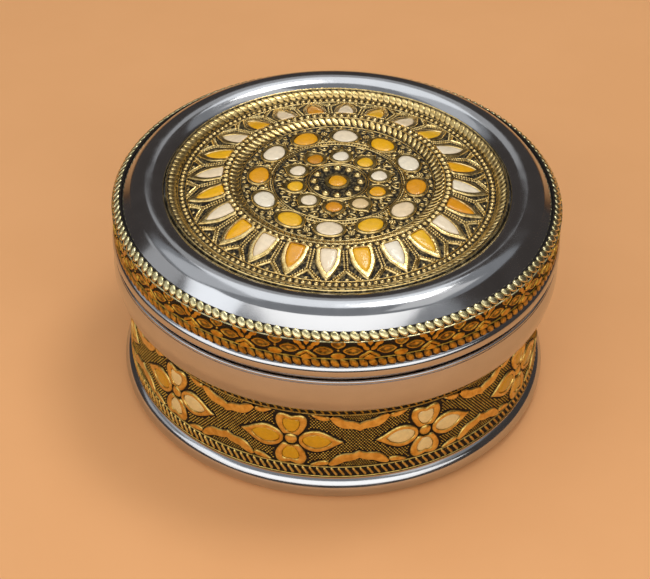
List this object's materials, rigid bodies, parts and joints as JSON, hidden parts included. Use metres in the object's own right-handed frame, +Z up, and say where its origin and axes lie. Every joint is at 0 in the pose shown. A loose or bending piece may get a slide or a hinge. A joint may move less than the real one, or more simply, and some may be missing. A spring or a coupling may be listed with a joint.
{
  "type": "paan box",
  "caption": "Round steel paan box with a lift-off lid, embossed brass bands, an enamelled medallion and a lift-out tray for the fillings",
  "frame": {"origin": "The centre of the foot's ring on the table: the middle of the bounding box's underside", "axes": "+Z points up through the lid and is the axis of every turned piece, -Y is the front that faces the viewer, +X is the viewer's right"},
  "size_m": [0.18, 0.18, 0.0926],
  "materials": {
    "steel_polished": "spun stainless steel, mirror-polished",
    "tray_steel": "stainless sheet, lightly brushed",
    "brass_embossed": "embossed brass sheet, oxidised dark in the ground and rubbed bright on the relief",
    "enamel_amber": "glossy amber enamel",
    "enamel_ivory": "glossy ivory enamel"
  },
  "bodies": {
    "box": {"body_shell": "steel_polished", "foot_ring": "steel_polished", "waist_band": "brass_embossed", "flower_enamel_amber": "enamel_amber", "flower_enamel_ivory": "enamel_ivory"},
    "tray": {"tray_cell": "tray_steel", "tray_divider_1": "tray_steel", "tray_divider_2": "tray_steel", "tray_divider_3": "tray_steel", "tray_divider_4": "tray_steel", "tray_divider_5": "tray_steel", "tray_divider_6": "tray_steel", "tray_loop": "tray_steel", "tray_pan": "tray_steel"},
    "lid": {"lid_shell": "steel_polished", "lid_band": "brass_embossed", "medallion_plate": "brass_embossed", "petal_enamel_amber": "enamel_amber", "petal_enamel_ivory": "enamel_ivory"}
  },
  "joints": [
    {"name": "tray_lift", "type": "slide", "parent": "box", "child": "tray", "axis": [0, 0, 1], "range_m": [0, 0.05]},
    {"name": "lid_lift", "type": "slide", "parent": "tray", "child": "lid", "axis": [0, 0, 1], "range_m": [0, 0.06]}
  ]
}
